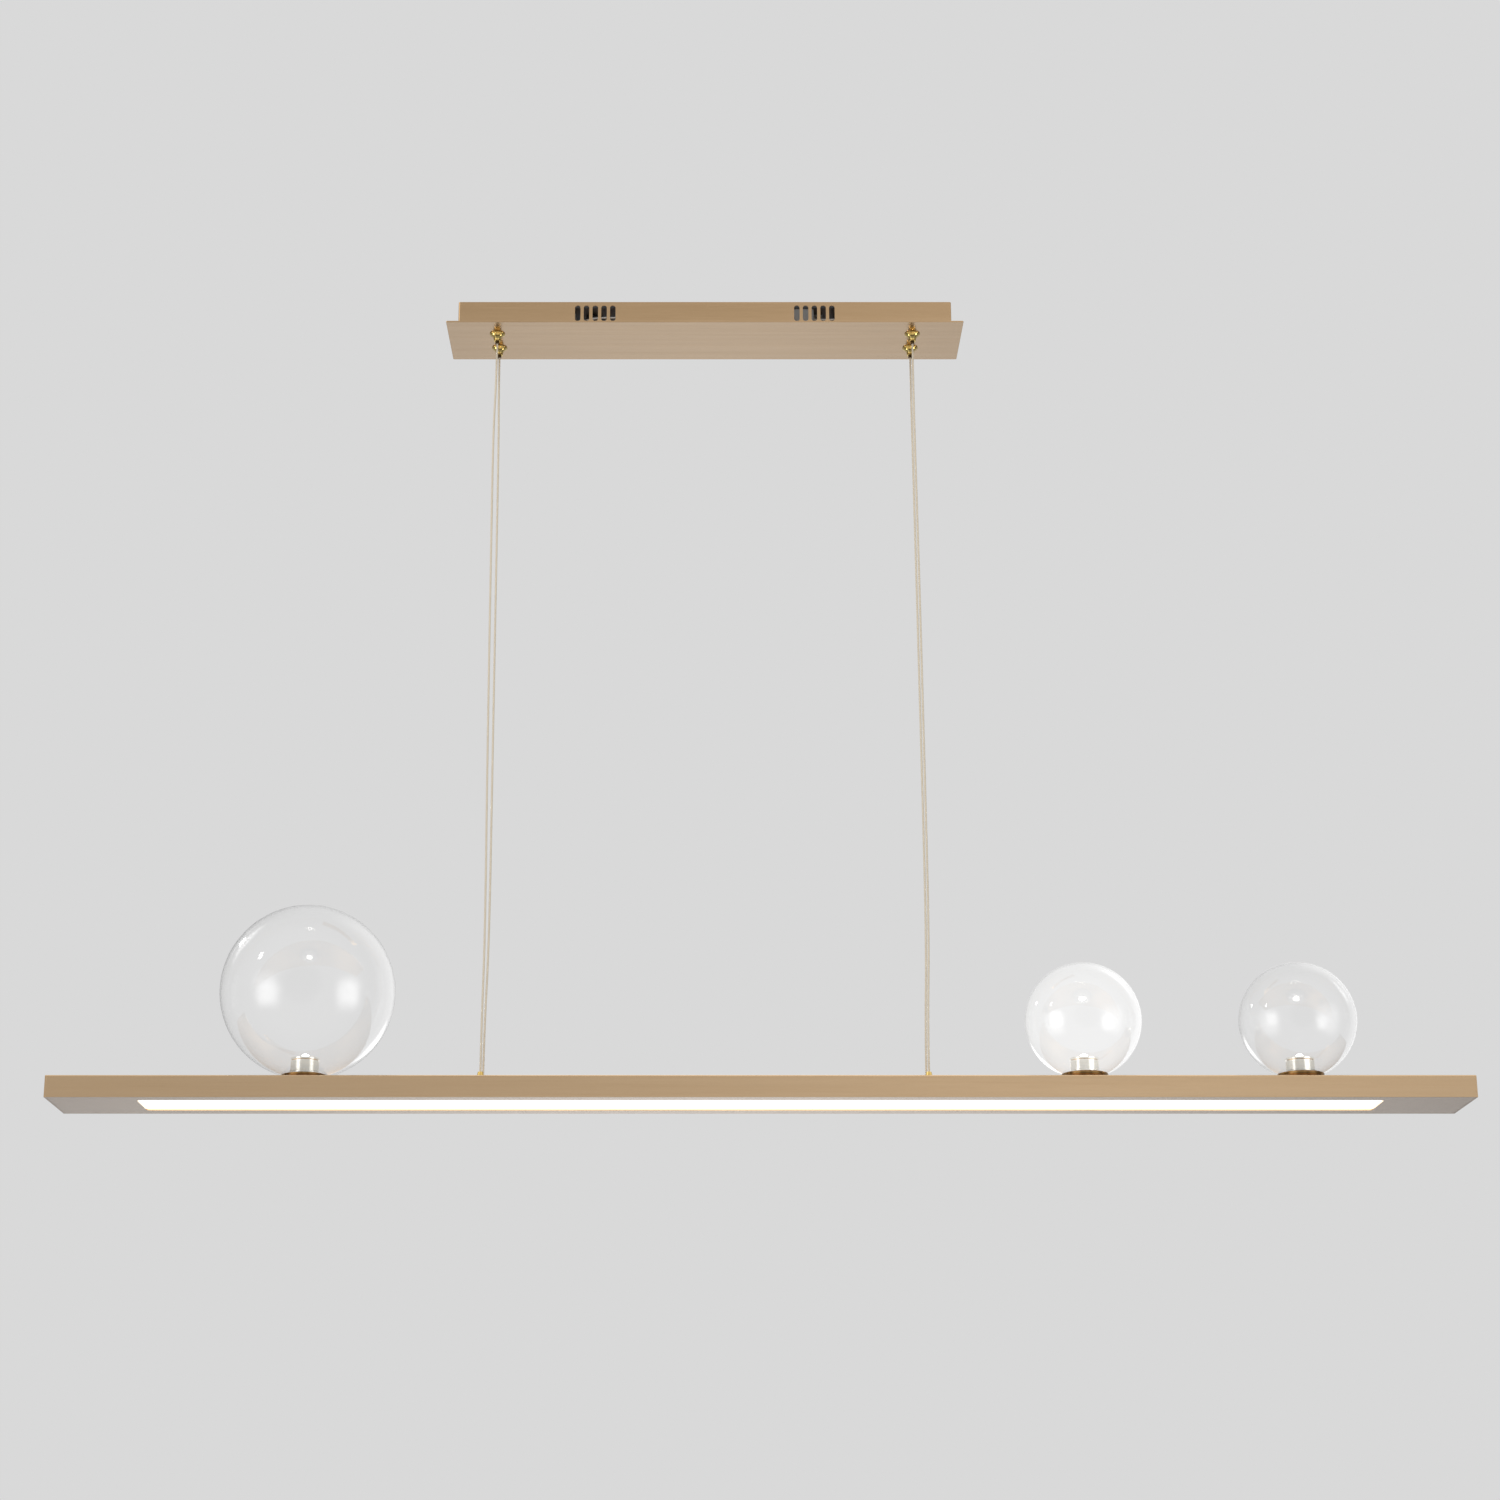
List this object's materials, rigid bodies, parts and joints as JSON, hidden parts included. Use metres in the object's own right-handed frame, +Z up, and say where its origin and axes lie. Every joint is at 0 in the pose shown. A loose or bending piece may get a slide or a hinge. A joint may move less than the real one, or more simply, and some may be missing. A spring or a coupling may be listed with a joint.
{
  "type": "linear island pendant",
  "caption": "Long brushed brass light bar with glass globes on its top face, hung from a flat ceiling canopy by thin cables with height grippers.",
  "frame": {"origin": "middle of the canopy's top, in the plane of the ceiling", "axes": "+X along the bar, to the right seen from the front; +Y to the back; +Z up to the ceiling"},
  "size_m": [1.2, 0.15, 0.735],
  "materials": {
    "brushed_brass": "brushed along its length, satin champagne brass plating",
    "polished_brass": "polished gold brass",
    "zinc_steel": "bright zinc plating",
    "driver_case": "grained grey moulding",
    "terminal_nylon": "plain white nylon",
    "lead_sleeve": "white insulation",
    "black_rubber": "matt",
    "coated_cable": "clear sleeve over twisted gold-coloured strands",
    "opal_acrylic": "satin opal, lit from behind",
    "tray_aluminium": "mill finish",
    "circuit_board": "white solder mask",
    "nickel_plate": "bright nickel, fine screw thread",
    "lens_acrylic": "clear dome",
    "clear_silicone": "translucent",
    "clear_glass": "clear blown glass"
  },
  "bodies": {
    "canopy": {"ceiling_bracket": "zinc_steel", "canopy_box": "brushed_brass", "canopy_plate": "brushed_brass", "canopy_nuts": "zinc_steel", "canopy_side_screws": "zinc_steel", "cable_grommet": "black_rubber", "led_driver": "driver_case", "driver_screws": "zinc_steel", "terminal_block": "terminal_nylon", "canopy_leads": "lead_sleeve", "cable_crimps": "zinc_steel", "gripper_body_front_left": "polished_brass", "gripper_body_front_right": "polished_brass", "gripper_body_rear_left": "polished_brass", "gripper_body_rear_right": "polished_brass", "cable_front_left": "coated_cable", "cable_front_right": "coated_cable", "cable_rear_left": "coated_cable", "cable_rear_right": "coated_cable"},
    "bar": {"bar_housing": "brushed_brass", "bar_end_cap_left": "brushed_brass", "bar_end_cap_right": "brushed_brass", "bottom_cover": "brushed_brass", "diffuser": "opal_acrylic", "led_tray": "tray_aluminium", "led_strip": "circuit_board", "cable_stops": "zinc_steel", "bar_nuts": "zinc_steel", "bar_leads": "lead_sleeve", "cup_nuts": "zinc_steel", "ferrule_front_left": "polished_brass", "ferrule_front_right": "polished_brass", "ferrule_rear_left": "polished_brass", "ferrule_rear_right": "polished_brass", "saucer_large": "polished_brass", "lamp_cup_large": "nickel_plate", "lamp_core_large": "tray_aluminium", "lamp_lens_large": "lens_acrylic", "nipple_large": "zinc_steel", "saucer_small_inner": "polished_brass", "lamp_cup_small_inner": "nickel_plate", "lamp_core_small_inner": "tray_aluminium", "lamp_lens_small_inner": "lens_acrylic", "nipple_small_inner": "zinc_steel", "saucer_small_outer": "polished_brass", "lamp_cup_small_outer": "nickel_plate", "lamp_core_small_outer": "tray_aluminium", "lamp_lens_small_outer": "lens_acrylic", "nipple_small_outer": "zinc_steel"},
    "nib_front_left": {"gripper_nib_front_left": "polished_brass"},
    "nib_front_right": {"gripper_nib_front_right": "polished_brass"},
    "nib_rear_left": {"gripper_nib_rear_left": "polished_brass"},
    "nib_rear_right": {"gripper_nib_rear_right": "polished_brass"},
    "gasket_large": {"gasket_large": "clear_silicone"},
    "glass_large": {"globe_large": "clear_glass"},
    "gasket_small_inner": {"gasket_small_inner": "clear_silicone"},
    "glass_small_inner": {"globe_small_inner": "clear_glass"},
    "gasket_small_outer": {"gasket_small_outer": "clear_silicone"},
    "glass_small_outer": {"globe_small_outer": "clear_glass"}
  },
  "joints": [
    {"name": "height_adjust", "type": "slide", "parent": "canopy", "child": "bar", "axis": [0, 0, 1], "range_m": [0, 0.4], "deforming": ["cable_front_left", "cable_front_right", "cable_rear_left", "cable_rear_right"]},
    {"name": "release_front_left", "type": "slide", "parent": "canopy", "child": "nib_front_left", "axis": [0, 0, 1], "range_m": [0, 0.0015], "stiffness_N_per_m": 400, "springref_m": -0.004},
    {"name": "release_front_right", "type": "slide", "parent": "canopy", "child": "nib_front_right", "axis": [0, 0, 1], "range_m": [0, 0.0015], "stiffness_N_per_m": 400, "springref_m": -0.004},
    {"name": "release_rear_left", "type": "slide", "parent": "canopy", "child": "nib_rear_left", "axis": [0, 0, 1], "range_m": [0, 0.0015], "stiffness_N_per_m": 400, "springref_m": -0.004},
    {"name": "release_rear_right", "type": "slide", "parent": "canopy", "child": "nib_rear_right", "axis": [0, 0, 1], "range_m": [0, 0.0015], "stiffness_N_per_m": 400, "springref_m": -0.004},
    {"name": "unscrew_large", "type": "hinge", "parent": "bar", "child": "gasket_large", "pos_m": [-0.341, 0, -0.711], "axis": [0, 0, 1], "range_deg": [0, 1080]},
    {"name": "rise_large", "type": "slide", "parent": "gasket_large", "child": "glass_large", "axis": [0, 0, 1], "range_m": [0, 0.0038]},
    {"name": "unscrew_small_inner", "type": "hinge", "parent": "bar", "child": "gasket_small_inner", "pos_m": [0.324, 0, -0.711], "axis": [0, 0, 1], "range_deg": [0, 1080]},
    {"name": "rise_small_inner", "type": "slide", "parent": "gasket_small_inner", "child": "glass_small_inner", "axis": [0, 0, 1], "range_m": [0, 0.0038]},
    {"name": "unscrew_small_outer", "type": "hinge", "parent": "bar", "child": "gasket_small_outer", "pos_m": [0.508, 0, -0.711], "axis": [0, 0, 1], "range_deg": [0, 1080]},
    {"name": "rise_small_outer", "type": "slide", "parent": "gasket_small_outer", "child": "glass_small_outer", "axis": [0, 0, 1], "range_m": [0, 0.0038]}
  ],
  "couplings": [
    {"joint": "rise_large", "follows": "unscrew_large", "m_per_rad": 0.00019894},
    {"joint": "rise_small_inner", "follows": "unscrew_small_inner", "m_per_rad": 0.00019894},
    {"joint": "rise_small_outer", "follows": "unscrew_small_outer", "m_per_rad": 0.00019894}
  ]
}
